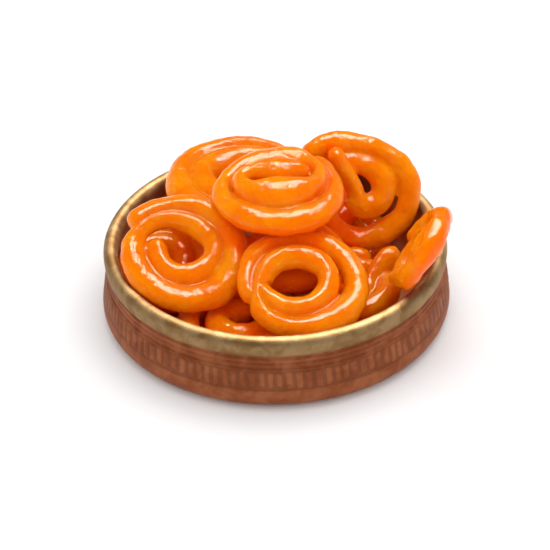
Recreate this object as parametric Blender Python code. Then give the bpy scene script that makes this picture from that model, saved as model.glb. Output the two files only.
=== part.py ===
"""Bowl of jalebi: a shallow copper dish with a wide brass lip, heaped with fried syrup spirals.

Units: every size below is in millimetres and degrees, and to_metres() turns it into Blender's
metres.  The origin is the middle of the bowl's flat foot, +Z up, and -Y is the front.

The bowl is one turned body.  Each jalebi is one strand, piped in a flat spiral that leans on its
neighbours.  Where the turns of a strand run into each other they are fused by a Boolean union, as
the batter fuses when it is fried, so each jalebi is one closed body.
"""

import math
from dataclasses import dataclass

import bmesh
import bpy
import numpy as np

MM = 0.001

# Bowl, outside, from the foot up: radius and height of each bend
FOOT_RADIUS = 74.0
FOOT_EDGE_RADIUS = 80.4
FOOT_EDGE_HEIGHT = 3.4
BELLY_RADIUS = 81.6
BELLY_HEIGHT = 6.8
BAND_RADIUS = 81.0
BAND_HEIGHT = 13.0
SHOULDER_RADIUS = 79.6
SHOULDER_HEIGHT = 20.5
NECK_LOW_RADIUS = 78.4
NECK_LOW_HEIGHT = 22.4
NECK_RADIUS = 77.6
NECK_HEIGHT = 27.5
LIP_RADIUS = 80.0
LIP_LOW_RADIUS = 79.6
LIP_LOW_HEIGHT = 29.5
LIP_EDGE_HEIGHT = 35.8
LIP_HEIGHT = 37.8
LIP_CREST_OUTER_RADIUS = 77.0
LIP_CREST_INNER_RADIUS = 75.0

# Bowl, inside, from the lip down
LIP_INNER_RADIUS = 73.9
LIP_INNER_HEIGHT = 35.5
WALL_THICKNESS = 3.2
WALL_FOOT_HEIGHT = 12.0
FLOOR_CURVE_RADIUS = 76.5
FLOOR_CURVE_HEIGHT = 3.2
FLOOR_RADIUS = 72.0
FLOOR_THICKNESS = 1.8
BOWL_STEPS = 48

# Strand
STRAND_SIDES = 8
RING_SPACING = 6.8
ROUTE_SAMPLES = 600
END_REACH = 0.58
END_RADIUS = 0.62
TAIL_SAMPLES = 60
TAIL_CURL = 0.8
BEAD_RADIUS = 3.0

# Finishes: colour, roughness, metallic
COPPER = ((0.36, 0.13, 0.06, 1.0), 0.45, 0.85)
SYRUP_ORANGE = ((0.80, 0.19, 0.015, 1.0), 0.22, 0.0)


@dataclass(frozen=True)
class Spiral:
    """One jalebi: where its middle lies, how it leans, and how its strand winds outwards.

    lean is the angle between the spiral's plane and level; toward is the compass angle
    (0 is +X, 90 is +Y) that its top face looks to.  The strand starts at angle start and turns
    through sweep, and radii are its distances from the middle at even steps of that turn.
    rise is its height over the spiral's plane at even steps of the turn.  strand is the
    strand's own radius, and girth is its share of that at even steps of the strand's length.
    tail, where there is one, is where the strand's first end lies: it crosses over the turns.
    """

    name: str
    middle: tuple
    lean: float
    toward: float
    start: float
    sweep: float
    radii: tuple
    strand: float
    girth: tuple = (1.0, 1.0)
    rise: tuple = (0.0, 0.0)
    tail: tuple = ()


WIDE = (7.0, 8.0, 11.0, 15.0, 18.0, 21.0, 22.0, 23.5)
CLOSE = (6.0, 7.5, 10.5, 14.0, 17.5, 20.0, 21.5, 22.0)

JALEBIS = (
    # The six on top
    Spiral("jalebi_front_left", (-39.0, -21.4, 44.7), 28.9, -82.2, 153.0, 722.0,
           (16.0, 12.0, 9.5, 11.5, 15.0, 26.2, 24.5, 23.4, 21.0, 23.2, 29.3), 6.0,
           girth=(0.75, 0.8, 0.9, 0.9, 0.9, 0.85, 0.9, 0.95, 0.95, 0.9, 1.15),
           rise=(0.5, 0.5, 0.5, 0.5, 0.0, 0.0, 0.0, 1.0, 2.1, 1.0, 0.0)),
    Spiral("jalebi_front", (12.0, -44.0, 42.0), 24.0, -78.0, -175.0, 738.0,
           (20.5, 13.5, 11.0, 12.0, 14.0, 19.0, 23.0, 21.5, 24.5, 24.5, 26.0, 24.0), 6.2,
           girth=(0.85, 0.8, 0.85, 0.9, 0.95, 0.9, 1.0, 1.05, 0.95, 0.85, 0.85, 0.8),
           rise=(1.5, 2.5, 2.5, 2.0, 0.0, -0.5, -1.0, -1.0, -0.5)),
    Spiral("jalebi_top", (3.5, -1.5, 67.5), 1.5, -90.0, 20.0, 760.0,
           (14.0, 7.2, 6.2, 8.6, 19.0, 16.5, 9.6, 9.3, 13.0, 18.5, 20.0, 21.0, 21.5, 24.5, 27.0,
            25.5, 24.0, 24.0, 23.5, 23.5, 25.5), 6.3,
           girth=(0.65, 1.05, 0.95, 0.72, 0.9, 1.18, 1.17, 0.9, 0.8, 0.87, 0.95, 0.95, 0.86, 0.8,
                  0.8, 0.87, 0.96, 1.03, 1.0, 0.92, 0.81, 0.83, 0.85, 0.85),
           rise=(3.5, 3.5, 3.5, 3.5, 3.5, 2.5, 0.5, -2.0, -3.0, -3.0, -3.0)),
    Spiral("jalebi_back_left", (-16.0, 34.5, 46.5), 0.0, 90.0, 150.0, -830.0,
           (4.0, 5.0, 8.0, 12.0, 17.0, 21.5, 25.0, 27.0, 28.5, 29.5, 28.5), 6.0),
    Spiral("jalebi_back_right", (42.4, 26.3, 43.7), 62.5, -86.8, -165.0, 675.0,
           (4.0, 4.5, 6.0, 10.2, 15.0, 20.0, 22.3, 21.2, 22.5, 23.0, 32.8), 5.6,
           girth=(0.9, 0.9, 1.0, 1.0, 0.95, 0.85, 0.9, 0.95, 0.9, 0.85, 0.9, 0.9),
           rise=(3.5, 3.0, 1.5, 0.0, 0.0, 0.0, 0.0, 0.0),
           tail=(-16.0, 22.5, 9.0)),
    Spiral("jalebi_right", (65.0, -30.0, 49.8), 58.0, 166.0, -130.0, 600.0,
           (5.0, 6.5, 9.0, 12.0, 15.0, 17.0, 18.5, 18.5), 5.2),
    # Those the six lie on
    Spiral("jalebi_low_right", (34.0, -17.7, 21.6), 2.0, 163.0, -18.0, -640.0,
           (8.5, 8.0, 11.0, 15.0, 18.0, 20.0, 21.0, 23.0), 6.2, tail=(23.0, 15.0, 8.5)),
    Spiral("jalebi_low_front", (-17.8, -42.0, 21.3), 1.7, 145.9, 40.0, 640.0,
           (7.0, 8.0, 10.0, 14.0, 19.0, 22.0, 23.5, 24.0), 6.2),
    Spiral("jalebi_low_left", (-52.5, 3.5, 21.0), 21.0, -84.0, 200.0, 640.0, CLOSE, 6.0),
    Spiral("jalebi_low_back", (17.3, 46.7, 27.2), 17.0, -121.0, 100.0, -640.0, CLOSE, 6.0),
    Spiral("jalebi_middle", (5.1, -8.3, 34.0), 1.6, 164.7, 200.0, 640.0, WIDE, 6.2),
    # The layer on the floor
    Spiral("jalebi_floor_front", (-24.0, -39.1, 8.4), 0.1, 63.9, 10.0, 640.0, WIDE, 6.0),
    Spiral("jalebi_floor_right", (31.5, -20.0, 8.5), 0.0, 90.0, 80.0, -640.0, WIDE, 6.0),
    Spiral("jalebi_floor_back", (28.5, 40.0, 8.5), 0.0, 90.0, 200.0, 640.0, WIDE, 6.0),
    Spiral("jalebi_floor_left", (-38.5, 27.5, 8.5), 0.0, 90.0, 300.0, -640.0, WIDE, 6.0),
)


def to_metres(points):
    """Scale points in millimetres to metres."""
    return np.asarray(points, dtype=float) * MM


def clear_scene():
    """Remove every object of the scene."""
    for item in list(bpy.data.objects):
        bpy.data.objects.remove(item)


def make_material(name, finish):
    """Make a Principled material from its colour, roughness and metallic value."""
    colour, roughness, metallic = finish
    material = bpy.data.materials.new(name)
    material.use_nodes = True
    shader = material.node_tree.nodes["Principled BSDF"]
    shader.inputs["Base Color"].default_value = colour
    shader.inputs["Roughness"].default_value = roughness
    shader.inputs["Metallic"].default_value = metallic
    return material


def make_object(name, points, faces, material):
    """Link a new mesh object with its faces turned outwards and shaded smooth."""
    mesh = bpy.data.meshes.new(name)
    mesh.from_pydata(to_metres(points).tolist(), [], faces)
    shell = bmesh.new()
    shell.from_mesh(mesh)
    bmesh.ops.recalc_face_normals(shell, faces=shell.faces)
    shell.to_mesh(mesh)
    shell.free()
    mesh.shade_smooth()
    mesh.set_sharp_from_angle(angle=math.radians(50.0))
    mesh.materials.append(material)
    item = bpy.data.objects.new(name, mesh)
    bpy.context.collection.objects.link(item)
    return item


def bowl_outline():
    """Give the bowl's half section, from the middle of the foot round to the middle of the floor."""
    return [
        (0.0, 0.0),
        (FOOT_RADIUS, 0.0),
        (FOOT_EDGE_RADIUS, FOOT_EDGE_HEIGHT),
        (BELLY_RADIUS, BELLY_HEIGHT),
        (BAND_RADIUS, BAND_HEIGHT),
        (SHOULDER_RADIUS, SHOULDER_HEIGHT),
        (NECK_LOW_RADIUS, NECK_LOW_HEIGHT),
        (NECK_RADIUS, NECK_HEIGHT),
        (LIP_LOW_RADIUS, LIP_LOW_HEIGHT),
        (LIP_RADIUS, LIP_EDGE_HEIGHT),
        (LIP_CREST_OUTER_RADIUS, LIP_HEIGHT),
        (LIP_CREST_INNER_RADIUS, LIP_HEIGHT),
        (LIP_INNER_RADIUS, LIP_INNER_HEIGHT),
        (NECK_RADIUS - WALL_THICKNESS, NECK_HEIGHT),
        (BELLY_RADIUS - WALL_THICKNESS, WALL_FOOT_HEIGHT),
        (FLOOR_CURVE_RADIUS, FLOOR_CURVE_HEIGHT),
        (FLOOR_RADIUS, FLOOR_THICKNESS),
        (0.0, FLOOR_THICKNESS),
    ]


def make_bowl(material):
    """Turn the bowl's half section about the Z axis; the two ends close on the axis."""
    outline = np.array(bowl_outline())
    turned = outline[1:-1]
    angles = np.radians(np.arange(BOWL_STEPS) * 360.0 / BOWL_STEPS)
    rings = np.empty((len(turned), BOWL_STEPS, 3))
    rings[..., 0] = turned[:, :1] * np.cos(angles)
    rings[..., 1] = turned[:, :1] * np.sin(angles)
    rings[..., 2] = turned[:, 1:]
    points = np.concatenate([rings.reshape(-1, 3), [[0, 0, outline[0, 1]], [0, 0, outline[-1, 1]]]])
    foot_middle = len(points) - 2
    floor_middle = len(points) - 1
    last_ring = (len(turned) - 1) * BOWL_STEPS
    faces = []
    for step in range(BOWL_STEPS):
        after = (step + 1) % BOWL_STEPS
        for row in range(len(turned) - 1):
            low = row * BOWL_STEPS
            high = low + BOWL_STEPS
            faces.append((low + step, low + after, high + after, high + step))
        faces.append((foot_middle, after, step))
        faces.append((floor_middle, last_ring + step, last_ring + after))
    return make_object("bowl", points, faces, material)


def smooth_steps(values, places):
    """Read a smooth curve through even steps (Catmull-Rom) at places from 0 to the last step."""
    knots = np.asarray(values, dtype=float)
    padded = np.concatenate([[2 * knots[0] - knots[1]], knots, [2 * knots[-1] - knots[-2]]])
    step = np.clip(np.floor(places).astype(int), 0, len(knots) - 2)
    part = places - step
    before, first, second, after = (padded[step + shift] for shift in range(4))
    return 0.5 * (2 * first + (second - before) * part
                  + (2 * before - 5 * first + 4 * second - after) * part ** 2
                  + (3 * first - before - 3 * second + after) * part ** 3)


def flat_route(spiral):
    """Wind the strand's centre line in its own plane, with its crossing tail if it has one."""
    last = len(spiral.radii) - 1
    places = np.linspace(0.0, last, ROUTE_SAMPLES)
    radius = smooth_steps(spiral.radii, places)
    angle = np.radians(spiral.start + spiral.sweep * places / last)
    height = smooth_steps(spiral.rise, places / last * (len(spiral.rise) - 1))
    route = np.stack([radius * np.cos(angle), radius * np.sin(angle), height], axis=1)
    if not spiral.tail:
        return route
    first = np.array(spiral.tail)
    heading = route[1] - route[0]
    heading /= np.linalg.norm(heading)
    across = route[0] - first
    leave = across * [1.0, 1.0, 0.0]
    arrive = heading * np.linalg.norm(across) * TAIL_CURL
    t = np.linspace(0.0, 1.0, TAIL_SAMPLES + 1)[:-1, None]
    tail = ((2 * t ** 3 - 3 * t ** 2 + 1) * first + (t ** 3 - 2 * t ** 2 + t) * leave
            + (3 * t ** 2 - 2 * t ** 3) * route[0] + (t ** 3 - t ** 2) * arrive)
    return np.concatenate([tail, route])


def lean_matrix(spiral):
    """Turn the level plane by the lean, about the level line square to the way it looks."""
    lean = math.radians(spiral.lean)
    toward = math.radians(spiral.toward)
    axis = np.array([-math.sin(toward), math.cos(toward), 0.0])
    skew = np.array([[0.0, -axis[2], axis[1]], [axis[2], 0.0, -axis[0]], [-axis[1], axis[0], 0.0]])
    return np.eye(3) + math.sin(lean) * skew + (1.0 - math.cos(lean)) * (skew @ skew)


def strand_rings(spiral):
    """Carry a round section along the strand and round off its two ends.

    Returns the rings as an array of (rings, sides, 3), and a point in the middle of the strand.
    """
    turn = lean_matrix(spiral)
    fine = flat_route(spiral) @ turn.T + np.array(spiral.middle)
    run = np.concatenate([[0.0], np.cumsum(np.linalg.norm(np.diff(fine, axis=0), axis=1))])
    count = int(round(run[-1] / RING_SPACING)) + 1
    stops = np.linspace(0.0, run[-1], count)
    centres = np.stack([np.interp(stops, run, fine[:, axis]) for axis in range(3)], axis=1)
    along = np.gradient(centres, axis=0)
    along /= np.linalg.norm(along, axis=1, keepdims=True)
    side = np.cross(turn[:, 2], along)
    side /= np.linalg.norm(side, axis=1, keepdims=True)
    up = np.cross(along, side)
    girth = smooth_steps(spiral.girth, stops / run[-1] * (len(spiral.girth) - 1))
    radius = spiral.strand * girth
    angles = (np.arange(STRAND_SIDES) + 0.5) * 2.0 * math.pi / STRAND_SIDES
    rings = (side[:, None] * np.cos(angles)[:, None] + up[:, None] * np.sin(angles)[:, None])
    rings = centres[:, None] + rings * radius[:, None, None]
    first_end = centres[0] - along[0] * END_REACH * radius[0] + END_RADIUS * (rings[0] - centres[0])
    last_end = centres[-1] + along[-1] * END_REACH * radius[-1] + END_RADIUS * (rings[-1] - centres[-1])
    return np.concatenate([first_end[None], rings, last_end[None]]), centres[count // 2]


def make_bead(name, place, material):
    """Make the small guide ball inside a strand that its turns are fused with."""
    ball = bmesh.new()
    bmesh.ops.create_icosphere(ball, subdivisions=1, radius=BEAD_RADIUS * MM)
    mesh = bpy.data.meshes.new(name)
    ball.to_mesh(mesh)
    ball.free()
    mesh.materials.append(material)
    bead = bpy.data.objects.new(name, mesh)
    bead.location = to_metres(place)
    bead.hide_render = True
    bead.display_type = "WIRE"
    bpy.context.collection.objects.link(bead)
    return bead


def make_jalebi(spiral, material):
    """Sweep one jalebi's strand and fuse the turns that touch into one closed body."""
    rings, inside = strand_rings(spiral)
    faces = []
    for ring in range(len(rings) - 1):
        low = ring * STRAND_SIDES
        high = low + STRAND_SIDES
        for side in range(STRAND_SIDES):
            after = (side + 1) % STRAND_SIDES
            faces.append((low + side, low + after, high + after, high + side))
    end = (len(rings) - 1) * STRAND_SIDES
    faces.append(tuple(reversed(range(STRAND_SIDES))))
    faces.append(tuple(end + side for side in range(STRAND_SIDES)))
    jalebi = make_object(spiral.name, rings.reshape(-1, 3), faces, material)
    bead = make_bead(spiral.name + "_bead", inside, material)
    fuse = jalebi.modifiers.new("fuse turns", "BOOLEAN")
    fuse.operation = "UNION"
    fuse.object = bead
    fuse.use_self = True
    return jalebi


def main():
    """Build the bowl and every jalebi in it."""
    clear_scene()
    make_bowl(make_material("antique copper", COPPER))
    syrup = make_material("syrup orange", SYRUP_ORANGE)
    for spiral in JALEBIS:
        make_jalebi(spiral, syrup)


main()
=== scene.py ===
"""Looks for the bowl of jalebi: fried syrup spirals heaped in a copper dish with a brass lip.

Every length in the tables is in millimetres and every angle in degrees; metres() turns points
into Blender's metres.  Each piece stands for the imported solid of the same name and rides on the
body "root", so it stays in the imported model's frame: +Z up, -Y to the front, foot at the origin.
"""

import logging
import math
from dataclasses import dataclass
from enum import Enum

import bpy
import numpy as np
from mathutils import Matrix

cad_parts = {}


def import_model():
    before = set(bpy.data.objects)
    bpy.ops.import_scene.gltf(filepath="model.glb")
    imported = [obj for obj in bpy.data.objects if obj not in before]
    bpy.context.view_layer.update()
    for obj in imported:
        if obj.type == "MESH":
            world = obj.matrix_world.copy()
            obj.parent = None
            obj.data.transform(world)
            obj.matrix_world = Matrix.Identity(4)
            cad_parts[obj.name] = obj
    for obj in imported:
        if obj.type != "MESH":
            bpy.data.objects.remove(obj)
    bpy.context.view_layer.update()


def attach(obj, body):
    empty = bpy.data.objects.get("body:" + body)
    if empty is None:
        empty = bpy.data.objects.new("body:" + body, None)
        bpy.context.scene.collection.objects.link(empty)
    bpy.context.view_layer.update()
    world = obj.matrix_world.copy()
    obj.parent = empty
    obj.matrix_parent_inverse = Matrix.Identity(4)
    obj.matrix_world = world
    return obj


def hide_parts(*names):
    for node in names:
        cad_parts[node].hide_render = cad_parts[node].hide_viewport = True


MM = 0.001
BODY = "root"
LOG = logging.getLogger("jalebi")


# ---------------------------------------------------------------- numbers to meshes


def metres(points: np.ndarray) -> np.ndarray:
    """Scale points in millimetres to metres."""
    return np.asarray(points, dtype=float) * MM


def smooth_steps(values: tuple, places: np.ndarray) -> np.ndarray:
    """Read a smooth curve (Catmull-Rom) through values given at even steps.

    Between steps i and i+1 the curve is the cubic through both whose slopes there are half the
    difference of the neighbours on either side.

    Args:
        values: the curve's values at steps 0, 1, 2 and on.
        places: where to read it, in steps.

    Returns:
        The curve's value at each place.
    """
    knots = np.asarray(values, dtype=float)
    padded = np.concatenate([[2 * knots[0] - knots[1]], knots, [2 * knots[-1] - knots[-2]]])
    step = np.clip(np.floor(places).astype(int), 0, len(knots) - 2)
    part = places - step
    before, first, second, after = (padded[step + shift] for shift in range(4))
    return 0.5 * (2 * first + (second - before) * part
                  + (2 * before - 5 * first + 4 * second - after) * part ** 2
                  + (3 * first - before - 3 * second + after) * part ** 3)


def smooth_ramp(values: np.ndarray, low: float, high: float) -> np.ndarray:
    """Rise from 0 at low to 1 at high along the curve 3t^2 - 2t^3."""
    part = np.clip((values - low) / (high - low), 0.0, 1.0)
    return part * part * (3.0 - 2.0 * part)


def wave_field(points: np.ndarray, longest: float, shortest: float, count: int,
               seed: int) -> np.ndarray:
    """Sum plane waves of random heading and phase into one soft random field.

    The field is the sum of sin(k . p + phase) over the waves, divided by the square root of half
    their number, so that it has a spread of about 1.

    Args:
        points: an array (n, 3) in millimetres.
        longest: the longest wavelength in millimetres.
        shortest: the shortest wavelength in millimetres.
        count: how many waves are summed.
        seed: the seed of the random draws.

    Returns:
        The field at each point.
    """
    draw = np.random.default_rng(seed)
    heading = draw.normal(size=(count, 3))
    heading /= np.linalg.norm(heading, axis=1, keepdims=True)
    length = np.exp(draw.uniform(math.log(shortest), math.log(longest), count))
    phase = draw.uniform(0.0, 2.0 * math.pi, count)
    waves = heading * (2.0 * math.pi / length)[:, None]
    return np.sin(points @ waves.T + phase).sum(axis=1) / math.sqrt(count / 2.0)


def ring_faces(rows: int, columns: int) -> np.ndarray:
    """Give the quads of a tube whose rows are closed rings of vertices."""
    row = np.arange(rows - 1)[:, None] * columns
    column = np.arange(columns)[None, :]
    after = (column + 1) % columns
    quads = np.stack([row + column, row + after, row + columns + after, row + columns + column],
                     axis=-1)
    return quads.reshape(-1, 4)


def capped_tube(rings: np.ndarray, first: np.ndarray, last: np.ndarray) -> tuple[np.ndarray, list]:
    """Join closed rings into a tube and close each end with a fan of triangles.

    Args:
        rings: an array (rows, columns, 3) in millimetres.
        first: the middle of the fan on the first ring.
        last: the middle of the fan on the last ring.

    Returns:
        The points in millimetres, and the faces.
    """
    rows, columns = rings.shape[:2]
    points = np.concatenate([rings.reshape(-1, 3), [first], [last]])
    around = np.arange(columns)
    after = (around + 1) % columns
    last_ring = (rows - 1) * columns
    pole = np.full_like(around, len(points) - 2)
    faces = ring_faces(rows, columns).tolist()
    faces += np.stack([after, around, pole], axis=1).tolist()
    faces += np.stack([last_ring + around, last_ring + after, pole + 1], axis=1).tolist()
    return points, faces


def make_mesh(name: str, points: np.ndarray, faces: list) -> bpy.types.Object:
    """Put points in millimetres and faces into a new smooth mesh object at the origin.

    Args:
        name: the object's name.
        points: an array (n, 3) in millimetres.
        faces: lists of vertex numbers, in order round each face.

    Returns:
        The linked object.
    """
    mesh = bpy.data.meshes.new(name)
    mesh.from_pydata(metres(points).tolist(), [], faces)
    mesh.validate()
    mesh.shade_smooth()
    item = bpy.data.objects.new(name, mesh)
    bpy.context.scene.collection.objects.link(item)
    return item


def settle_modifiers(item: bpy.types.Object) -> None:
    """Replace the object's mesh by what its modifiers make of it, and drop the modifiers."""
    graph = bpy.context.evaluated_depsgraph_get()
    finished = bpy.data.meshes.new_from_object(item.evaluated_get(graph))
    rough = item.data
    item.modifiers.clear()
    item.data = finished
    bpy.data.meshes.remove(rough)
    finished.name = item.name


def mesh_points(mesh: bpy.types.Mesh) -> np.ndarray:
    """Read a mesh's vertices as an array (n, 3) in millimetres."""
    flat = np.empty(len(mesh.vertices) * 3)
    mesh.vertices.foreach_get("co", flat)
    return flat.reshape(-1, 3) / MM


def mesh_normals(mesh: bpy.types.Mesh) -> np.ndarray:
    """Read a mesh's vertex normals as an array (n, 3)."""
    flat = np.empty(len(mesh.vertices) * 3)
    mesh.vertices.foreach_get("normal", flat)
    return flat.reshape(-1, 3)


def mark(item: bpy.types.Object, label: str, values: np.ndarray) -> None:
    """Store one value a vertex as a named attribute."""
    layer = item.data.attributes.new(label, "FLOAT", "POINT")
    layer.data.foreach_set("value", np.asarray(values, dtype=np.float32).ravel())


# ---------------------------------------------------------------- shader tools


class ShaderPad:
    """A small bench for wiring one node tree."""

    def __init__(self, tree: bpy.types.NodeTree) -> None:
        """Keep the tree that the nodes go into."""
        self.tree = tree

    def node(self, kind: str, **settings: object) -> bpy.types.Node:
        """Add a node of that kind and set its properties.

        Args:
            kind: Blender's type name of the node.
            settings: property names and values.

        Returns:
            The new node.
        """
        made = self.tree.nodes.new(kind)
        for key, value in settings.items():
            setattr(made, key, value)
        return made

    def feed(self, socket: bpy.types.NodeSocket, source: object) -> None:
        """Link a socket to another, or set it to a plain value."""
        if isinstance(source, bpy.types.NodeSocket):
            self.tree.links.new(source, socket)
        else:
            socket.default_value = source

    def noise(self, where: object, scale: float, detail: float, rough: float = 0.5,
              twist: float = 0.0) -> bpy.types.NodeSocket:
        """Add a noise texture and return its value.

        Args:
            where: the socket with the coordinates.
            scale: how many features there are in a metre.
            detail: how many finer layers are added.
            rough: how strong the finer layers are.
            twist: how much the pattern is warped.

        Returns:
            The noise value, about 0.5 in the middle.
        """
        made = self.node("ShaderNodeTexNoise", noise_dimensions="3D")
        self.feed(made.inputs["Vector"], where)
        self.feed(made.inputs["Scale"], scale)
        self.feed(made.inputs["Detail"], detail)
        self.feed(made.inputs["Roughness"], rough)
        self.feed(made.inputs["Distortion"], twist)
        return made.outputs["Fac"]

    def ramp(self, value: object, low: float, high: float, to_low: float = 0.0,
             to_high: float = 1.0) -> bpy.types.NodeSocket:
        """Map a value smoothly from low..high to to_low..to_high, held at both ends.

        Args:
            value: the socket to map.
            low: the value that gives to_low.
            high: the value that gives to_high.
            to_low: the result at low.
            to_high: the result at high.

        Returns:
            The mapped value.
        """
        made = self.node("ShaderNodeMapRange", interpolation_type="SMOOTHSTEP", clamp=True)
        for socket, source in zip(made.inputs, (value, low, high, to_low, to_high)):
            self.feed(socket, source)
        return made.outputs["Result"]

    def maths(self, operation: str, first: object, second: object = 0.0) -> bpy.types.NodeSocket:
        """Add a maths node and return its result."""
        made = self.node("ShaderNodeMath", operation=operation)
        self.feed(made.inputs[0], first)
        self.feed(made.inputs[1], second)
        return made.outputs[0]

    def blend(self, amount: object, first: object, second: object) -> bpy.types.NodeSocket:
        """Blend two colours.

        Args:
            amount: 0 for the first colour, 1 for the second.
            first: a colour or a socket.
            second: a colour or a socket.

        Returns:
            The blended colour.
        """
        made = self.node("ShaderNodeMix", data_type="RGBA")
        self.feed(made.inputs[0], amount)
        self.feed(made.inputs[6], first)
        self.feed(made.inputs[7], second)
        return made.outputs[2]

    def between(self, amount: object, first: object, second: object) -> bpy.types.NodeSocket:
        """Give a value between two: the first where amount is 0, the second where it is 1."""
        made = self.node("ShaderNodeMix", data_type="FLOAT")
        self.feed(made.inputs[0], amount)
        self.feed(made.inputs[2], first)
        self.feed(made.inputs[3], second)
        return made.outputs[0]

    def attribute(self, label: str) -> bpy.types.NodeSocket:
        """Read one of the mesh's own named attributes."""
        return self.node("ShaderNodeAttribute", attribute_name=label).outputs["Fac"]

    def axis(self, vector: object, letter: str) -> bpy.types.NodeSocket:
        """Take the X, Y or Z part of a vector."""
        parts = self.node("ShaderNodeSeparateXYZ")
        self.feed(parts.inputs[0], vector)
        return parts.outputs[letter]

    def bump(self, height: object, strength: float, depth: float,
             under: bpy.types.NodeSocket | None = None) -> bpy.types.NodeSocket:
        """Add a bump and return its normal.

        Args:
            height: the socket with the height, from 0 to about 1.
            strength: how much of the bump is used, from 0 to 1.
            depth: what a height of 1 is in metres.
            under: the normal of another bump that this one lies on.

        Returns:
            The bumped normal.
        """
        made = self.node("ShaderNodeBump")
        self.feed(made.inputs["Strength"], strength)
        self.feed(made.inputs["Distance"], depth)
        self.feed(made.inputs["Height"], height)
        if under is not None:
            self.feed(made.inputs["Normal"], under)
        return made.outputs["Normal"]


def new_material(name: str) -> tuple[bpy.types.Material, ShaderPad, bpy.types.Node]:
    """Make a node material and return it, its bench and its Principled shader."""
    material = bpy.data.materials.new(name)
    material.use_nodes = True
    shader = material.node_tree.nodes["Principled BSDF"]
    return material, ShaderPad(material.node_tree), shader


class MottleGroup:
    """A shader group of cloudy patches and small specks, used by every finish.

    Inputs are the coordinates and the sizes of patches and specks, in features a metre.  Outputs
    are a Patch value, a Speck mask and a Grain height for bumps.
    """

    def __init__(self) -> None:
        """Build the group's node tree."""
        tree = bpy.data.node_groups.new("mottle", "ShaderNodeTree")
        face = tree.interface
        face.new_socket("Vector", in_out="INPUT", socket_type="NodeSocketVector")
        for label, value in (("Patch Scale", 80.0), ("Speck Scale", 500.0), ("Grain Scale", 900.0)):
            socket = face.new_socket(label, in_out="INPUT", socket_type="NodeSocketFloat")
            socket.default_value = value
        for label in ("Patch", "Speck", "Grain"):
            face.new_socket(label, in_out="OUTPUT", socket_type="NodeSocketFloat")
        pad = ShaderPad(tree)
        given = pad.node("NodeGroupInput").outputs
        result = pad.node("NodeGroupOutput").inputs
        patch = pad.noise(given["Vector"], given["Patch Scale"], 3.0, 0.55, 0.4)
        cells = pad.node("ShaderNodeTexVoronoi", feature="F1")
        pad.feed(cells.inputs["Vector"], given["Vector"])
        pad.feed(cells.inputs["Scale"], given["Speck Scale"])
        gate = pad.noise(given["Vector"], given["Speck Scale"], 0.0)
        spot = pad.ramp(cells.outputs["Distance"], 0.12, 0.30, 1.0, 0.0)
        sparse = pad.ramp(gate, 0.56, 0.66)
        grain = pad.noise(given["Vector"], given["Grain Scale"], 1.0, 0.4)
        pad.feed(result["Patch"], patch)
        pad.feed(result["Speck"], pad.maths("MULTIPLY", spot, sparse))
        pad.feed(result["Grain"], grain)
        self.tree = tree

    def place(self, pad: ShaderPad, where: bpy.types.NodeSocket, patch: float, speck: float,
              grain: float) -> bpy.types.Node:
        """Place the group in a material.

        Args:
            pad: the material's bench.
            where: the socket with the coordinates.
            patch: patches a metre.
            speck: specks a metre.
            grain: grains a metre.

        Returns:
            The group's node.
        """
        made = pad.node("ShaderNodeGroup", node_tree=self.tree)
        for label, source in (("Vector", where), ("Patch Scale", patch), ("Speck Scale", speck),
                              ("Grain Scale", grain)):
            pad.feed(made.inputs[label], source)
        return made


# ---------------------------------------------------------------- finishes


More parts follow.
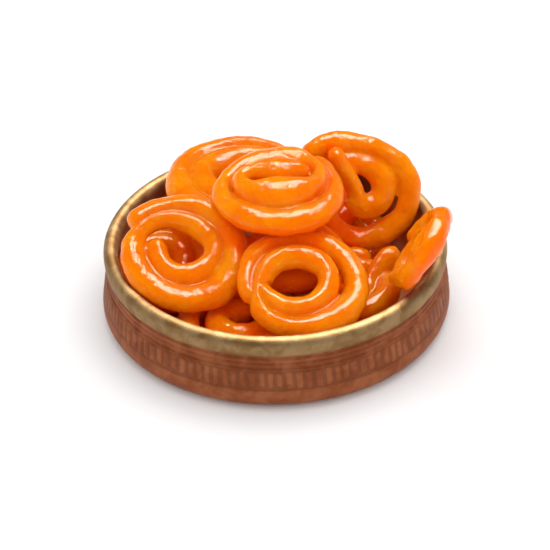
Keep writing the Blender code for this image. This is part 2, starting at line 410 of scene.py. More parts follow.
@dataclass(frozen=True)
class SyrupFinish:
    """Fried batter steeped in syrup: glossy, a little clear, orange, fine bumps, painted shade."""

    deep: tuple = (0.86, 0.195, 0.001, 1.0)
    bright: tuple = (0.89, 0.268, 0.002, 1.0)
    pale: tuple = (0.95, 0.430, 0.006, 1.0)
    # painted shade: a deeper red-orange under the strands, in grooves and in sunken spots
    groove_shade: tuple = (0.93, 0.125, 0.001, 1.0)
    crumb: tuple = (0.98, 0.50, 0.03, 1.0)
    shine: tuple = (1.0, 0.80, 0.66, 1.0)
    bend: float = 1.33
    glow: float = 0.85
    glow_reach: float = 0.0038
    glow_spread: tuple = (1.0, 0.50, 0.12)
    roughness: tuple = (0.02, 0.05)
    groove_shade_share: float = 0.75
    sunk_shade_share: float = 0.85
    lump_strength: float = 1.0
    lump_depth: float = 0.00025
    pit_strength: float = 0.55
    pit_depth: float = 0.00018

    def material(self, mottle: MottleGroup) -> bpy.types.Material:
        """Build the material; the sweet's attributes crest and sunk drive its painted shade.

        Args:
            mottle: the shared group of patches and specks.

        Returns:
            The syrup material.
        """
        material, pad, shader = new_material("syrup orange")
        where = pad.node("ShaderNodeTexCoord").outputs["Object"]
        coarse = mottle.place(pad, where, 60.0, 420.0, 420.0).outputs
        fine = mottle.place(pad, where, 260.0, 900.0, 1300.0).outputs
        cloud = pad.ramp(coarse["Patch"], 0.36, 0.66)
        colour = pad.blend(cloud, self.deep, self.bright)
        streak = pad.ramp(fine["Patch"], 0.52, 0.74, 0.0, 0.25)
        colour = pad.blend(streak, colour, self.pale)
        # painted shade: deeper red-orange on each strand's underside and in the grooves between
        # turns
        low = pad.ramp(pad.attribute("crest"), 0.30, 0.80, self.groove_shade_share, 0.0)
        colour = pad.blend(low, colour, self.groove_shade)
        # painted shade: deeper red-orange where a point lies sunk below the heap around it
        sunk_shade = pad.ramp(pad.attribute("sunk"), 0.0, 1.0, 0.0, self.sunk_shade_share)
        colour = pad.blend(sunk_shade, colour, self.groove_shade)
        crumb = pad.maths("MULTIPLY", coarse["Speck"], pad.ramp(cloud, 0.3, 1.0, 0.1, 0.6))
        colour = pad.blend(crumb, colour, self.crumb)
        pad.feed(shader.inputs["Base Color"], colour)
        pad.feed(shader.inputs["Roughness"], pad.ramp(coarse["Patch"], 0.46, 0.66, *self.roughness))
        shader.inputs["IOR"].default_value = self.bend
        shader.inputs["Specular Tint"].default_value = self.shine
        shader.inputs["Subsurface Weight"].default_value = self.glow
        shader.inputs["Subsurface Radius"].default_value = self.glow_spread
        shader.inputs["Subsurface Scale"].default_value = self.glow_reach
        lumps = pad.bump(coarse["Grain"], self.lump_strength, self.lump_depth)
        pitted = pad.maths("ADD", fine["Grain"], coarse["Speck"])
        pad.feed(shader.inputs["Normal"],
                 pad.bump(pitted, self.pit_strength, self.pit_depth, lumps))
        return material


@dataclass(frozen=True)
class DishFinish:
    """Antique copper outside, warm brass on lip and inside, with painted shade and painted light.
    """

    copper: tuple = (0.24, 0.060, 0.018, 1.0)
    copper_pale: tuple = (0.36, 0.115, 0.045, 1.0)
    # darkens the rib grooves as painted shade and colours the real dark specks
    dark_speck_and_groove_shade: tuple = (0.13, 0.038, 0.015, 1.0)
    brass: tuple = (0.26, 0.14, 0.05, 1.0)
    brass_pale: tuple = (0.40, 0.26, 0.12, 1.0)
    # the inside's own brass, made lighter than the lip's as painted light on the shaded inner wall
    brass_inside_and_painted_light: tuple = (0.62, 0.38, 0.18, 1.0)
    # painted shade: a dark orange-brown over the bottom of the inside, with no metal there
    floor_shade: tuple = (0.55, 0.115, 0.006, 1.0)
    floor_shade_top: float = 0.016
    floor_shade_end: float = 0.026
    groove_shade_share: float = 0.45
    speck_share: float = 0.35
    metal_copper: float = 0.30
    metal_brass: float = 0.90
    metal_lost_inside: float = 0.45
    rough_copper: tuple = (0.42, 0.58)
    rough_brass: tuple = (0.54, 0.64)
    bend: float = 1.22
    dent_strength: float = 0.25
    dent_depth: float = 0.0004

    def material(self, mottle: MottleGroup) -> bpy.types.Material:
        """Build the material from the bowl's own attributes: brass, inside and relief.

        Args:
            mottle: the shared group of patches and specks.

        Returns:
            The bowl's material.
        """
        material, pad, shader = new_material("antique copper")
        where = pad.node("ShaderNodeTexCoord").outputs["Object"]
        group = mottle.place(pad, where, 120.0, 700.0, 1500.0).outputs
        brass_mask = pad.attribute("brass")
        inside_mask = pad.attribute("inside")
        cloud = pad.ramp(group["Patch"], 0.35, 0.68)
        copper = pad.blend(cloud, self.copper, self.copper_pale)
        # painted shade: darker copper in the grooves between the ribs
        groove_shade = pad.ramp(pad.attribute("relief"), 0.0, 0.55, self.groove_shade_share, 0.0)
        copper = pad.blend(groove_shade, copper, self.dark_speck_and_groove_shade)
        brass = pad.blend(cloud, self.brass, self.brass_pale)
        # painted light: the inside brass is lighter than the lip's brass
        brass = pad.blend(inside_mask, brass, self.brass_inside_and_painted_light)
        # painted shade: dark orange-brown low inside the dish, fading out upward
        low = pad.ramp(pad.axis(where, "Z"), self.floor_shade_top, self.floor_shade_end, 1.0, 0.0)
        shaded_floor = pad.maths("MULTIPLY", inside_mask, low)
        brass = pad.blend(shaded_floor, brass, self.floor_shade)
        colour = pad.blend(brass_mask, copper, brass)
        speck = pad.maths("MULTIPLY", group["Speck"], self.speck_share)
        colour = pad.blend(speck, colour, self.dark_speck_and_groove_shade)
        pad.feed(shader.inputs["Base Color"], colour)
        metal = pad.ramp(brass_mask, 0.0, 1.0, self.metal_copper, self.metal_brass)
        dull = pad.ramp(inside_mask, 0.0, 1.0, 0.0, self.metal_lost_inside)
        metal = pad.maths("SUBTRACT", metal, dull)
        metal = pad.maths("MULTIPLY", metal, pad.maths("SUBTRACT", 1.0, shaded_floor))
        pad.feed(shader.inputs["Metallic"], metal)
        rough_copper, rough_brass = (pad.ramp(group["Patch"], 0.3, 0.7, *ends)
                                     for ends in (self.rough_copper, self.rough_brass))
        pad.feed(shader.inputs["Roughness"], pad.between(brass_mask, rough_copper, rough_brass))
        shader.inputs["IOR"].default_value = self.bend
        pad.feed(shader.inputs["Normal"],
                 pad.bump(group["Grain"], self.dent_strength, self.dent_depth))
        return material


@dataclass(frozen=True)
class FloorFinish:
    """A plain pale floor with a very faint tone."""

    tone: tuple = (0.95, 0.95, 0.95, 1.0)
    tone_low: tuple = (0.93, 0.93, 0.93, 1.0)
    roughness: float = 0.9

    def material(self, mottle: MottleGroup) -> bpy.types.Material:
        """Build the floor's material.

        Args:
            mottle: the shared group of patches and specks.

        Returns:
            The floor's material.
        """
        material, pad, shader = new_material("pale floor")
        where = pad.node("ShaderNodeTexCoord").outputs["Object"]
        group = mottle.place(pad, where, 6.0, 40.0, 200.0).outputs
        pad.feed(shader.inputs["Base Color"], pad.blend(group["Patch"], self.tone_low, self.tone))
        shader.inputs["Roughness"].default_value = self.roughness
        return material


# ---------------------------------------------------------------- the sweets


class Finish(Enum):
    """How finely a jalebi is made: the size of the cells its turns are fused in."""

    SHOWN = 0.45
    COVERED = 0.8


@dataclass(frozen=True)
class Winding:
    """How one jalebi's strand lies.

    middle is its centre; lean is the tilt of its plane and toward the compass angle its top face
    looks to.  The strand starts at angle start and turns through sweep; radii are its distances
    from the middle at even steps and rise its heights over the plane there.  strand is the
    strand's radius, girth its share of that at even steps, spread how far it may widen toward a
    turn beside it, crinkle how deep its dents are, and tail the place of a first end that
    crosses over the turns.
    """

    name: str
    middle: tuple
    lean: float
    toward: float
    start: float
    sweep: float
    radii: tuple
    strand: float
    girth: tuple = (1.0, 1.0)
    rise: tuple = (0.0, 0.0)
    spread: float = 1.0
    crinkle: float = 1.0
    tail: tuple = ()
    finish: Finish = Finish.SHOWN


WIDE = (7.0, 8.0, 11.0, 15.0, 18.0, 21.0, 22.0, 23.5)
CLOSE = (6.0, 7.5, 10.5, 14.0, 17.5, 20.0, 21.5, 22.0)

WINDINGS = (
    Winding("jalebi_front_left", (-39.0, -21.4, 44.7), 28.9, -82.2, 153.0, 722.0,
            (16.0, 12.0, 9.5, 11.5, 15.0, 26.2, 24.5, 23.4, 21.0, 23.2, 29.3), 6.0,
            girth=(0.75, 0.8, 0.9, 0.9, 0.9, 0.85, 0.9, 0.95, 0.95, 0.9, 1.15),
            rise=(0.5, 0.5, 0.5, 0.5, 0.0, 0.0, 0.0, 1.0, 2.1, 1.0, 0.0), spread=1.25),
    Winding("jalebi_front", (12.0, -44.0, 42.0), 24.0, -78.0, -175.0, 738.0,
            (20.5, 13.5, 11.0, 12.0, 14.0, 19.0, 23.0, 21.5, 24.5, 24.5, 26.0, 24.0), 6.2,
            girth=(0.85, 0.8, 0.85, 0.9, 0.95, 0.9, 1.0, 1.05, 0.95, 0.85, 0.85, 0.8),
            rise=(1.5, 2.5, 2.5, 2.0, 0.0, -0.5, -1.0, -1.0, -0.5)),
    Winding("jalebi_top", (3.5, -1.5, 67.5), 1.5, -90.0, 20.0, 760.0,
            (14.0, 7.2, 6.2, 8.6, 19.0, 16.5, 9.6, 9.3, 13.0, 18.5, 20.0, 21.0, 21.5, 24.5, 27.0,
             25.5, 24.0, 24.0, 23.5, 23.5, 25.5), 6.3,
            girth=(0.65, 1.05, 0.95, 0.72, 0.9, 1.18, 1.17, 0.9, 0.8, 0.87, 0.95, 0.95, 0.86, 0.8,
                   0.8, 0.87, 0.96, 1.03, 1.0, 0.92, 0.81, 0.83, 0.85, 0.85),
            rise=(3.5, 3.5, 3.5, 3.5, 3.5, 2.5, 0.5, -2.0, -3.0, -3.0, -3.0), spread=1.4),
    Winding("jalebi_back_left", (-16.0, 34.5, 46.5), 0.0, 90.0, 150.0, -830.0,
            (4.0, 5.0, 8.0, 12.0, 17.0, 21.5, 25.0, 27.0, 28.5, 29.5, 28.5), 6.0, spread=1.2),
    Winding("jalebi_back_right", (42.4, 26.3, 43.7), 62.5, -86.8, -165.0, 675.0,
            (4.0, 4.5, 6.0, 10.2, 15.0, 20.0, 22.3, 21.2, 22.5, 23.0, 32.8), 5.6,
            girth=(0.9, 0.9, 1.0, 1.0, 0.95, 0.85, 0.9, 0.95, 0.9, 0.85, 0.9, 0.9),
            rise=(3.5, 3.0, 1.5, 0.0, 0.0, 0.0, 0.0, 0.0), spread=1.25,
            tail=(-16.0, 22.5, 9.0)),
    Winding("jalebi_right", (65.0, -30.0, 49.8), 58.0, 166.0, -130.0, 600.0,
            (5.0, 6.5, 9.0, 12.0, 15.0, 17.0, 18.5, 18.5), 5.2, crinkle=2.5),
    Winding("jalebi_low_right", (34.0, -17.7, 21.6), 2.0, 163.0, -18.0, -640.0,
            (8.5, 8.0, 11.0, 15.0, 18.0, 20.0, 21.0, 23.0), 6.2, tail=(23.0, 15.0, 8.5)),
    Winding("jalebi_low_front", (-17.8, -42.0, 21.3), 1.7, 145.9, 40.0, 640.0,
            (7.0, 8.0, 10.0, 14.0, 19.0, 22.0, 23.5, 24.0), 6.2),
    Winding("jalebi_low_left", (-52.5, 3.5, 21.0), 21.0, -84.0, 200.0, 640.0, CLOSE, 6.0,
            finish=Finish.COVERED),
    Winding("jalebi_low_back", (17.3, 46.7, 27.2), 17.0, -121.0, 100.0, -640.0, CLOSE, 6.0,
            finish=Finish.COVERED),
    Winding("jalebi_middle", (5.1, -8.3, 34.0), 1.6, 164.7, 200.0, 640.0, WIDE, 6.2,
            finish=Finish.COVERED),
    Winding("jalebi_floor_front", (-24.0, -39.1, 8.4), 0.1, 63.9, 10.0, 640.0, WIDE, 6.0,
            finish=Finish.COVERED),
    Winding("jalebi_floor_right", (31.5, -20.0, 8.5), 0.0, 90.0, 80.0, -640.0, WIDE, 6.0,
            finish=Finish.COVERED),
    Winding("jalebi_floor_back", (28.5, 40.0, 8.5), 0.0, 90.0, 200.0, 640.0, WIDE, 6.0,
            finish=Finish.COVERED),
    Winding("jalebi_floor_left", (-38.5, 27.5, 8.5), 0.0, 90.0, 300.0, -640.0, WIDE, 6.0,
            finish=Finish.COVERED),
)


@dataclass
class Jalebi:
    """One fried spiral: a lumpy strand wound in its plane and fused where its turns touch."""

    winding: Winding
    number: int
    route_samples: int = 600
    tail_samples: int = 60
    tail_curl: float = 0.8
    ring_spacing: float = 0.7
    sides: int = 40
    squareness: float = 1.1
    girth_spread: float = 0.06
    press: float = 1.2
    easing: float = 1.0 / 24.0
    tail_girth: float = 0.8
    drift_waves: tuple = (90.0, 30.0, 6, 300)
    lump_height: float = 0.12
    lump_turns: tuple = (0, 1, 1, 2, 2, 3)
    lump_lengths: tuple = (18.0, 50.0)
    lump_seed: int = 100
    dent_height: float = 0.12
    dent_waves: tuple = (18.0, 7.0, 40, 400)
    ripple_height: float = 0.045
    ripple_waves: tuple = (6.0, 2.2, 40, 500)
    closing: float = 0.4
    smooth_rounds: int = 3
    bead_step: int = 4
    batch: int = 20000

    def waves(self, points: np.ndarray, kind: tuple) -> np.ndarray:
        """Sum this sweet's own waves: longest, shortest, how many and the first seed."""
        longest, shortest, count, seed = kind
        return wave_field(points, longest, shortest, count, seed + self.number)

    def flat_route(self) -> np.ndarray:
        """Wind the centre line in its own plane.

        The distance from the middle and the height are smooth curves through the winding's radii
        and rise while the angle grows evenly.  A tail is a cubic from its far end that lands on
        the first point in line with the strand.

        Returns:
            An array (n, 3) in millimetres.
        """
        winding = self.winding
        last = len(winding.radii) - 1
        places = np.linspace(0.0, last, self.route_samples)
        radius = smooth_steps(winding.radii, places)
        angle = np.radians(winding.start + winding.sweep * places / last)
        height = smooth_steps(winding.rise, places / last * (len(winding.rise) - 1))
        route = np.stack([radius * np.cos(angle), radius * np.sin(angle), height], axis=1)
        if not winding.tail:
            return route
        first = np.array(winding.tail)
        heading = route[1] - route[0]
        heading /= np.linalg.norm(heading)
        across = route[0] - first
        leave = across * [1.0, 1.0, 0.0]
        arrive = heading * np.linalg.norm(across) * self.tail_curl
        t = np.linspace(0.0, 1.0, self.tail_samples + 1)[:-1, None]
        tail = ((2 * t ** 3 - 3 * t ** 2 + 1) * first + (t ** 3 - 2 * t ** 2 + t) * leave
                + (3 * t ** 2 - 2 * t ** 3) * route[0] + (t ** 3 - t ** 2) * arrive)
        return np.concatenate([tail, route])

    def lean_matrix(self) -> np.ndarray:
        """Turn the level plane by the lean, about the level line square to the way it looks."""
        lean = math.radians(self.winding.lean)
        toward = math.radians(self.winding.toward)
        axis = np.array([-math.sin(toward), math.cos(toward), 0.0])
        skew = np.array([[0.0, -axis[2], axis[1]], [axis[2], 0.0, -axis[0]],
                         [-axis[1], axis[0], 0.0]])
        return np.eye(3) + math.sin(lean) * skew + (1.0 - math.cos(lean)) * (skew @ skew)

    def side_reach(self, step: int) -> np.ndarray:
        """Give how far the strand reaches sideways along its route, toward one neighbour turn.

        Where another turn lies beside it the strand is pressed to half the distance between
        them, times press; elsewhere it keeps its own radius.  The change is spread over easing
        of a turn before and after.

        Args:
            step: -1 for the turn inside it, 1 for the turn outside it.

        Returns:
            The reach in millimetres at each point of the route.
        """
        winding = self.winding
        last = len(winding.radii) - 1
        places = np.linspace(0.0, last, self.route_samples)
        turn = 360.0 / abs(winding.sweep) * last
        beside = places + step * turn
        gap = np.abs(smooth_steps(winding.radii, np.clip(beside, 0.0, last))
                     - smooth_steps(winding.radii, places))
        inside = np.minimum(beside, last - beside)
        there = smooth_ramp(inside, -turn * self.easing, turn * self.easing)
        pressed = np.minimum(winding.strand * winding.spread, 0.5 * gap * self.press)
        reach = there * pressed + (1.0 - there) * winding.strand
        tail = np.full(self.tail_samples if winding.tail else 0, winding.strand * self.tail_girth)
        return np.concatenate([tail, reach])

    def lumps(self, stops: np.ndarray, angles: np.ndarray) -> np.ndarray:
        """Sum waves that run along the strand and wind round it, of random length and phase.

        Args:
            stops: distances along the strand in millimetres.
            angles: angles round it in radians.

        Returns:
            The sum (stops, angles), in lump heights.
        """
        draw = np.random.default_rng(self.lump_seed + self.number)
        total = np.zeros((len(stops), len(angles)))
        for turns_round in self.lump_turns:
            length = draw.uniform(*self.lump_lengths)
            phase = draw.uniform(0.0, 2.0 * math.pi)
            total += np.sin(stops[:, None] * 2.0 * math.pi / length + turns_round * angles + phase)
        return total

    def strand_surface(self) -> tuple[np.ndarray, list]:
        """Carry a lumpy section along the centre line, closed to a dome at each end.

        A point at distance s along the line and angle a round it stands off the line by the
        strand's reach times the section's shape (side: |cos a| to the power squareness, up:
        |sin a| to the same power), plus waves in s and a.  Over the last radius of length at
        each end the section shrinks as a quarter circle.

        Returns:
            The points in millimetres, and the faces.
        """
        winding = self.winding
        turn = self.lean_matrix()
        fine = self.flat_route() @ turn.T + np.array(winding.middle)
        run = np.concatenate([[0.0], np.cumsum(np.linalg.norm(np.diff(fine, axis=0), axis=1))])
        stops = np.linspace(0.0, run[-1], int(run[-1] / self.ring_spacing))
        centres = np.stack([np.interp(stops, run, fine[:, axis]) for axis in range(3)], axis=1)
        along = np.gradient(centres, axis=0)
        along /= np.linalg.norm(along, axis=1, keepdims=True)
        side = np.cross(turn[:, 2], along)
        side /= np.linalg.norm(side, axis=1, keepdims=True)
        up = np.cross(along, side)
        girth = smooth_steps(winding.girth, stops / run[-1] * (len(winding.girth) - 1))
        drift = np.clip(self.waves(stops[:, None] * [1.0, 0.0, 0.0], self.drift_waves), -1.5, 1.5)
        radius = winding.strand * girth * (1.0 + self.girth_spread * drift)
        from_end = np.minimum(stops, run[-1] - stops)
        missing = 1.0 - np.clip(from_end / radius, 0.0, 1.0)
        dome = np.sqrt(np.clip(1.0 - missing ** 2, 0.0, 1.0))
        angles = (np.arange(self.sides) + 0.5) * 2.0 * math.pi / self.sides
        thick = radius[:, None] + self.lump_height * self.lumps(stops, angles)
        reach = thick * dome[:, None]
        facing = int(math.copysign(1, winding.sweep))
        near, far = (np.interp(stops, run, self.side_reach(step)) / winding.strand
                     for step in (-facing, facing))
        across, upward = (np.sign(wave) * np.abs(wave) ** self.squareness
                          for wave in (np.cos(angles), np.sin(angles)))
        across = across * np.where(across > 0.0, near[:, None], far[:, None])
        rings = (centres[:, None] + side[:, None] * (reach * across)[..., None]
                 + up[:, None] * (reach * upward)[..., None])
        return capped_tube(rings, centres[0], centres[-1])

    def build(self) -> bpy.types.Object:
        """Make the strand, fuse its touching turns in fine cells, and ripple its skin.

        Returns:
            The finished object, at the origin.
        """
        points, faces = self.strand_surface()
        item = make_mesh(self.winding.name + "_strand", points, faces)
        for label, reach in (("swell", self.closing), ("shrink", -self.closing)):
            fuse = item.modifiers.new("fuse before " + label, "REMESH")
            fuse.mode = "VOXEL"
            fuse.voxel_size = self.winding.finish.value * MM
            fuse.use_smooth_shade = True
            grow = item.modifiers.new(label, "DISPLACE")
            grow.mid_level = 0.0
            grow.strength = reach * MM
        relax = item.modifiers.new("relax", "SMOOTH")
        relax.factor = 0.5
        relax.iterations = self.smooth_rounds
        settle_modifiers(item)
        skin = mesh_points(item.data)
        dents = self.waves(skin, self.dent_waves) * self.dent_height * self.winding.crinkle
        ripple = dents + self.waves(skin, self.ripple_waves) * self.ripple_height
        skin = skin + mesh_normals(item.data) * ripple[:, None]
        item.data.vertices.foreach_set("co", metres(skin).ravel())
        item.data.update()
        item.data.shade_smooth()
        mark(item, "crest", self.crest(skin))
        return item

    def crest(self, skin: np.ndarray) -> np.ndarray:
        """Tell how high each point lies on its strand, from 0 underneath to 1 on the ridge.

        Args:
            skin: the points (n, 3) in millimetres.

        Returns:
            The height over the nearest point of the centre line, as a share of the thickness.
        """
        turn = self.lean_matrix()
        beads = self.flat_route()[::self.bead_step] @ turn.T + np.array(self.winding.middle)
        lift = np.empty(len(skin))
        for first in range(0, len(skin), self.batch):
            part = skin[first:first + self.batch]
            square = (beads ** 2).sum(axis=1) - 2.0 * part @ beads.T
            nearest = beads[square.argmin(axis=1)]
            lift[first:first + self.batch] = (part - nearest) @ turn[:, 2]
        return 0.5 + 0.5 * np.clip(lift / self.winding.strand, -1.0, 1.0)


@dataclass(frozen=True)
class HeapChart:
    """A map of how high the heap stands, seen from above and softened."""

    half: float = 95.0
    cell: float = 1.0
    bare: float = 12.0
    blur: float = 5.0
    least: float = 1.0
    most: float = 13.0

    def heights(self, skins: list) -> np.ndarray:
        """Note the highest point of the heap over each cell, softened by a bell of size blur.

        Args:
            skins: the points (n, 3) of each sweet, in millimetres.

        Returns:
            The softened heights in millimetres; cells with nothing in them count as bare.
        """
        count = int(2.0 * self.half / self.cell)
        chart = np.full((count, count), self.bare)
        for skin in skins:
            spot = ((skin[:, :2] + self.half) / self.cell).astype(int)
            np.maximum.at(chart, (spot[:, 0], spot[:, 1]), skin[:, 2])
        wave = np.fft.fftfreq(count, self.cell) * 2.0 * math.pi
        bell = np.exp(-0.5 * (self.blur * wave) ** 2)
        return np.fft.ifft2(np.fft.fft2(chart) * bell[:, None] * bell[None]).real

    def sunk(self, skin: np.ndarray, chart: np.ndarray) -> np.ndarray:
        """Tell how far each point lies below the softened heap, from 0 to 1.

        Args:
            skin: the points (n, 3) in millimetres.
            chart: the softened heights.

        Returns:
            0 for points at the top, 1 for points deep in a gap or underneath.
        """
        place = (skin[:, :2] + self.half) / self.cell - 0.5
        low = place.astype(int)
        part = place - low
        level = sum(chart[low[:, 0] + i, low[:, 1] + j]
                    * np.abs(1 - i - part[:, 0]) * np.abs(1 - j - part[:, 1])
                    for i in (0, 1) for j in (0, 1))
        return smooth_ramp(level - skin[:, 2], self.least, self.most)


# ---------------------------------------------------------------- the dish


@dataclass
class Bowl:
    """The dish: a flat foot, a low belly with a band of stamped ribs, a neck and a wide lip."""

    rib_low: float = 12.6
    rib_high: float = 20.8
    rib_depth: float = 0.55
    rib_count: int = 118
    rib_wander: tuple = ((0.55, 7, 0.4), (0.4, 17, 2.0), (0.3, 31, 0.0))
    rib_slant: float = 0.08
    edge_wander: tuple = ((0.7, 11, 1.0), (0.5, 59, 0.0))
    rib_fade: tuple = (0.25, 5, 1.3)
    steps: int = 944
    outline: tuple = (
        (0.0, 0.0), (60.0, 0.0), (74.0, 0.05), (77.5, 1.0), (79.6, 2.4), (80.9, 4.4), (81.5, 6.8),
        (81.4, 9.0), (81.2, 11.0), (80.9, 12.0), (80.9, 12.6), (80.8, 13.2), (80.7, 14.4),
        (80.5, 15.8), (80.3, 17.4), (80.1, 19.0), (79.9, 20.0), (79.7, 20.7), (79.2, 21.3),
        (78.6, 21.8), (78.4, 22.5), (78.7, 23.1), (78.8, 23.7), (78.3, 24.3), (78.2, 24.9),
        (78.5, 25.5), (78.4, 26.1), (77.9, 26.8), (77.7, 27.5), (78.3, 28.2), (79.2, 28.9),
        (79.7, 30.4), (79.95, 32.6), (79.9, 34.8), (79.0, 36.6), (77.8, 37.5), (76.4, 37.8),
        (75.2, 37.5), (74.4, 36.8), (73.8, 35.8), (73.5, 34.6), (73.5, 33.0), (73.9, 31.0),
        (74.6, 28.0), (75.4, 24.0), (76.4, 18.0), (77.4, 12.0), (77.9, 8.0), (77.3, 5.0),
        (75.4, 2.8), (72.0, 1.8), (60.0, 1.8), (30.0, 1.8), (0.0, 1.8))
    outer_rows: int = 36
    brass_rows: tuple = (28.0, 30.0)
    inside_rows: tuple = (38.0, 50.0)
    rows_between: int = 2

    def section(self) -> np.ndarray:
        """Round the outline into a smooth half section of radius and height."""
        knots = np.array(self.outline)
        places = np.linspace(0.0, len(knots) - 1, (len(knots) - 1) * self.rows_between + 1)
        radius = smooth_steps(tuple(knots[:, 0]), places)
        height = smooth_steps(tuple(knots[:, 1]), places)
        return np.stack([np.clip(radius, 0.0, None), np.clip(height, 0.0, None)], axis=1)

    def ribs(self, height: np.ndarray, angle: np.ndarray) -> np.ndarray:
        """Give the ribs' relief from 0 in the grooves to 1 on the crests.

        The relief is a rounded wave in the angle, whose phase and length wander a little, held
        inside the band by a ramp at its lower and upper edge; the lower edge wanders too.

        Args:
            height: heights (rows, 1) in millimetres.
            angle: angles (1, steps) in radians.

        Returns:
            The relief (rows, steps).
        """
        wander, edge = (sum(size * np.sin(count * angle + phase) for size, count, phase in waves)
                        for waves in (self.rib_wander, self.edge_wander))
        wave = 0.5 + 0.5 * np.cos(self.rib_count * angle + wander + self.rib_slant * height)
        crest = smooth_ramp(wave, 0.25, 0.75)
        low = self.rib_low + edge
        window = smooth_ramp(height, low - 0.6, low + 0.8) * (
            1.0 - smooth_ramp(height, self.rib_high - 1.0, self.rib_high))
        size, count, phase = self.rib_fade
        strength = 1.0 - size + size * np.sin(count * angle + phase)
        return crest * window * strength

    def build(self) -> bpy.types.Object:
        """Turn the section about the axis, press the ribs in, and mark brass, inside and relief.

        Returns:
            The finished object, at the origin.
        """
        section = self.section()
        turned = section[1:-1]
        angle = np.arange(self.steps) * 2.0 * math.pi / self.steps
        outer = np.arange(len(turned)) < self.outer_rows * self.rows_between
        relief = self.ribs(turned[:, 1:2], angle[None, :]) * outer[:, None]
        in_band = (turned[:, 1] > self.rib_low - 2) & (turned[:, 1] < self.rib_high) & outer
        radius = turned[:, :1] + self.rib_depth * (relief - 0.5 * in_band[:, None])
        rings = np.stack([radius * np.cos(angle), radius * np.sin(angle),
                          np.repeat(turned[:, 1:2], self.steps, axis=1)], axis=-1)
        points, faces = capped_tube(rings, np.array([0.0, 0.0, section[0, 1]]),
                                    np.array([0.0, 0.0, section[-1, 1]]))
        item = make_mesh("copper_dish", points, faces)
        row = np.arange(len(turned))[:, None] / self.rows_between
        level = np.ones((1, self.steps))
        for label, values in (("relief", np.where(in_band[:, None], relief, 1.0)),
                              ("brass", smooth_ramp(row, *self.brass_rows) * level),
                              ("inside", smooth_ramp(row, *self.inside_rows) * level)):
            mark(item, label, np.concatenate([values.ravel(), [values[0, 0], values[-1, 0]]]))
        return item


# ---------------------------------------------------------------- the studio


def set_up(item: bpy.types.Object, right: np.ndarray, up: np.ndarray, back: np.ndarray,
           place: np.ndarray) -> None:
    """Link an object and stand it at a place, turned to the three directions given.

    Args:
        item: the camera or lamp.
        right: the direction of its own X.
        up: the direction of its own Y.
        back: the direction of its own Z, away from what it faces.
        place: where it stands, in metres.
    """
    columns = np.stack([right, up, back, place], axis=1)
    item.matrix_world = Matrix([*columns.tolist(), [0.0, 0.0, 0.0, 1.0]])
    bpy.context.scene.collection.objects.link(item)


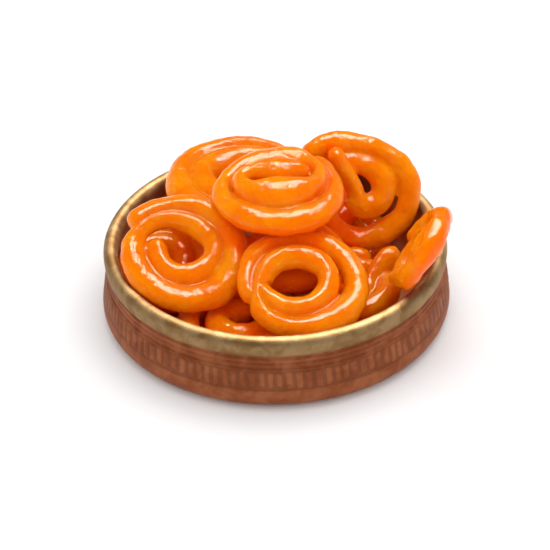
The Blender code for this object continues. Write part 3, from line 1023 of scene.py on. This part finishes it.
@dataclass(frozen=True)
class Studio:
    """A plain floor, two soft boxes overhead, an even surround and the camera."""

    elevation: float = 35.53
    roll: float = 1.276
    distance: float = 1.3
    target_height: float = 0.020
    lens: float = 181.6
    shift_x: float = -0.00142
    shift_y: float = -0.00996
    floor_size: float = 8.0
    floor_drop: float = 0.02
    aim: tuple = (0.0, 0.0, 0.04)
    surround: float = 1.02

    def camera(self) -> bpy.types.Object:
        """Make the camera and look down on the heap from the front."""
        lift = math.radians(self.elevation)
        roll = math.radians(self.roll)
        right = np.array([1.0, 0.0, 0.0])
        up = np.array([0.0, math.sin(lift), math.cos(lift)])
        back = np.array([0.0, -math.cos(lift), math.sin(lift)])
        turned_right = right * math.cos(roll) - up * math.sin(roll)
        turned_up = up * math.cos(roll) + right * math.sin(roll)
        place = np.array([0.0, 0.0, self.target_height]) + back * self.distance
        lens = bpy.data.cameras.new("camera")
        lens.lens = self.lens
        lens.sensor_width = 36.0
        lens.shift_x = self.shift_x
        lens.shift_y = self.shift_y
        lens.clip_start = 0.05
        item = bpy.data.objects.new("camera", lens)
        set_up(item, turned_right, turned_up, back, place)
        bpy.context.scene.camera = item
        return item

    def lamp(self, name: str, size: tuple, power: float, place: tuple) -> bpy.types.Object:
        """Hang one soft box that faces the heap.

        Args:
            name: the lamp's name.
            size: its width and depth in metres.
            power: its power in watts.
            place: where it hangs, in metres.

        Returns:
            The lamp.
        """
        light = bpy.data.lights.new(name, "AREA")
        light.shape = "RECTANGLE"
        light.size, light.size_y = size
        light.energy = power
        item = bpy.data.objects.new(name, light)
        back = np.array(place) - np.array(self.aim)
        back /= np.linalg.norm(back)
        right = np.cross([0.0, 1.0, 0.0], back)
        right /= np.linalg.norm(right)
        set_up(item, right, np.cross(back, right), back, np.array(place))
        return item

    def lights(self) -> None:
        """Hang two soft boxes, one for the light and one for the gloss, and the surround.

        Seen in the gloss, the surround is dim, brighter low down and to the sides.
        """
        self.lamp("key", (0.60, 0.50), 1.4, (0.10, 0.10, 0.75)).visible_glossy = False
        self.lamp("glint", (0.60, 0.46), 22.0, (0.10, 0.20, 0.75)).visible_diffuse = False
        world = bpy.data.worlds.new("surround")
        world.use_nodes = True
        backdrop = world.node_tree.nodes["Background"]
        backdrop.inputs["Color"].default_value = (1.0, 1.0, 1.0, 1.0)
        pad = ShaderPad(world.node_tree)
        mirrored = pad.node("ShaderNodeLightPath").outputs["Is Glossy Ray"]
        bearing = pad.node("ShaderNodeTexCoord").outputs["Generated"]
        lower = pad.ramp(pad.axis(bearing, "Z"), 0.05, 0.50, 0.35, 0.06)
        aside = pad.ramp(pad.maths("ABSOLUTE", pad.axis(bearing, "X")), 0.1, 0.9, 0.35, 1.5)
        gloss = pad.maths("MULTIPLY", lower, aside)
        pad.feed(backdrop.inputs["Strength"], pad.between(mirrored, self.surround, gloss))
        bpy.context.scene.world = world

    def floor(self, finish: bpy.types.Material) -> bpy.types.Object:
        """Lay the floor just under the foot."""
        half = self.floor_size / 2.0 / MM
        sheet = np.array([[-half, -half, -self.floor_drop], [half, -half, -self.floor_drop],
                          [half, half, -self.floor_drop], [-half, half, -self.floor_drop]])
        item = make_mesh("floor", sheet, [[0, 1, 2, 3]])
        item.data.materials.append(finish)
        return item

    def tone(self) -> None:
        """Show colours as they are, without a film curve."""
        view = bpy.context.scene.view_settings
        view.view_transform = "Standard"
        view.look = "None"
        view.exposure = 0.0
        view.gamma = 1.0


# ---------------------------------------------------------------- putting it together


def seat(piece: bpy.types.Object, node: str, finish: bpy.types.Material) -> None:
    """Dress a piece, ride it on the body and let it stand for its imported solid.

    Args:
        piece: the finished piece.
        node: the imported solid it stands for.
        finish: its material.
    """
    piece.data.materials.clear()
    piece.data.materials.append(finish)
    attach(piece, BODY)
    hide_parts(node)
    LOG.info("%s stands for %s with %d faces", piece.name, node, len(piece.data.polygons))


def main() -> None:
    """Load the frame, build the dish, the sweets and the studio."""
    logging.basicConfig(level=logging.INFO, format="%(name)s: %(message)s")
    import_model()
    mottle = MottleGroup()
    copper = DishFinish().material(mottle)
    syrup = SyrupFinish().material(mottle)
    seat(Bowl().build(), "bowl", copper)
    sweets = [Jalebi(winding, number).build() for number, winding in enumerate(WINDINGS)]
    survey = HeapChart()
    chart = survey.heights([mesh_points(sweet.data) for sweet in sweets])
    for winding, sweet in zip(WINDINGS, sweets):
        # the sunk depth darkens the syrup colour as painted shade
        mark(sweet, "sunk", survey.sunk(mesh_points(sweet.data), chart))
        seat(sweet, winding.name, syrup)
    studio = Studio()
    studio.floor(FloorFinish().material(mottle))
    studio.lights()
    studio.camera()
    studio.tone()


if __name__ == "__main__":
    main()
